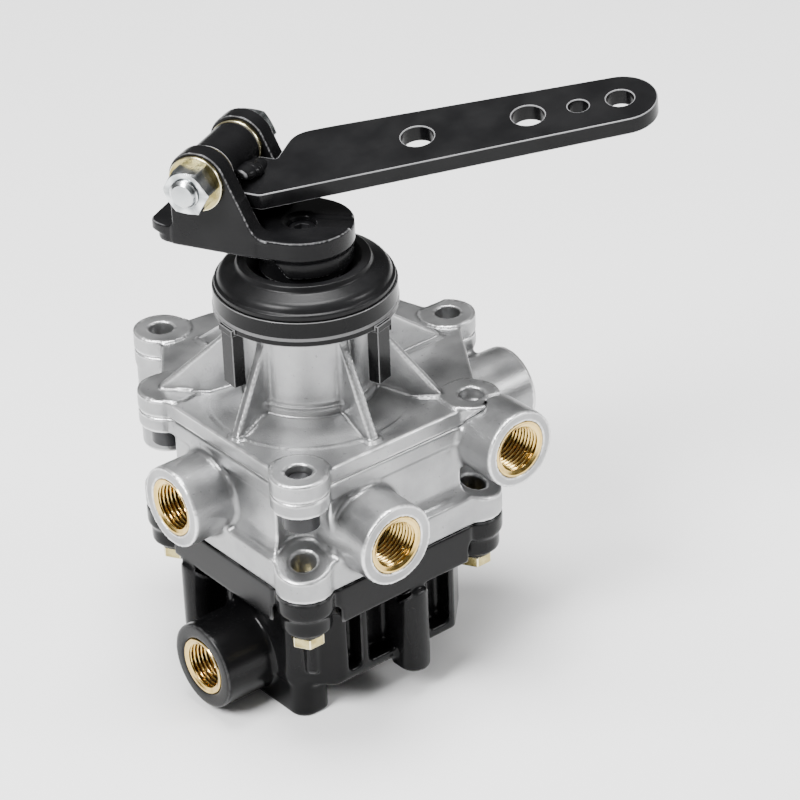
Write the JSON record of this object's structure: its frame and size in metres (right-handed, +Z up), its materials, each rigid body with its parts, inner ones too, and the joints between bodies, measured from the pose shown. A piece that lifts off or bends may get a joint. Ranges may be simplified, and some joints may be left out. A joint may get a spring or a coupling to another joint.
{
  "type": "leveling valve",
  "caption": "Rotary slide valve for vehicle air suspension: cast body with threaded air ports, moulded supply housing, rubber boot, and a drilled lever hinged in a fork on the spindle.",
  "frame": {"origin": "midway between the two mounting holes, in the plane of the machined lug pads", "axes": "+Z up along the spindle and the mounting holes, -Y out of the two front ports, -X out of the supply port, +X out of the far port"},
  "size_m": [0.1678, 0.1404, 0.2003],
  "materials": {
    "cast_cover": "satin as-cast with machined pads",
    "cast_body": "satin as-cast",
    "black_plastic": "satin moulded",
    "ring_plastic": "satin moulded",
    "rubber": "matte",
    "boot_rubber": "matte with a soft sheen",
    "brass": "bright machined",
    "black_steel": "black oxide",
    "yellow_zinc": "pale yellow zinc",
    "zinc": "bright zinc",
    "bronze": "sintered",
    "slide_steel": "ground",
    "spring_steel": "drawn",
    "cage_plastic": "natural moulded",
    "black_paint": "glossy black coat"
  },
  "bodies": {
    "housing": {"upper_cover": "cast_cover", "valve_body": "cast_body", "lower_housing": "black_plastic", "cover_seal": "rubber", "housing_seal": "rubber", "insert_a": "brass", "insert_b": "brass", "insert_c": "brass", "insert_e": "brass", "supply_insert": "brass", "cover_screws": "black_steel", "housing_screws": "yellow_zinc", "boot": "boot_rubber", "boot_ring": "ring_plastic", "spindle_bush": "bronze", "shaft_seal": "rubber", "port_plate": "slide_steel", "detent_springs": "spring_steel", "check_cage": "cage_plastic", "check_spring": "spring_steel", "supply_filter": "bronze", "exhaust_flap": "rubber", "thrust_washer": "bronze"},
    "spindle": {"spindle": "slide_steel", "detent_plate": "slide_steel", "rotary_disc": "slide_steel", "disc_spring": "spring_steel", "fork": "black_paint", "hub_screw": "black_steel", "hinge_bolt": "zinc", "hinge_nut": "zinc", "nut_washer": "yellow_zinc", "ear_washers": "yellow_zinc"},
    "lever": {"lever_plate": "black_paint", "barrel": "black_paint", "barrel_bush": "bronze", "weld_beads": "black_paint"},
    "check_valve": {"check_poppet": "rubber"},
    "detents": {"detent_plungers": "spring_steel"}
  },
  "joints": [
    {"name": "spindle_turn", "type": "hinge", "parent": "housing", "child": "spindle", "pos_m": [-0.03, -0.042, 0.05], "axis": [0, 0, 1], "range_deg": [-45, 45]},
    {"name": "lever_fold", "type": "hinge", "parent": "spindle", "child": "lever", "pos_m": [-0.04271, -0.01705, 0.0835], "axis": [-0.891, -0.454, 0], "range_deg": [-2, 100]},
    {"name": "check_lift", "type": "slide", "parent": "housing", "child": "check_valve", "axis": [0, 0, 1], "range_m": [0, 0.003], "stiffness_N_per_m": 200, "springref_m": -0.003, "deforming": ["check_spring"]},
    {"name": "detent_drop", "type": "slide", "parent": "housing", "child": "detents", "axis": [0, 0, -1], "range_m": [0, 0.0011], "deforming": ["detent_springs"]}
  ]
}
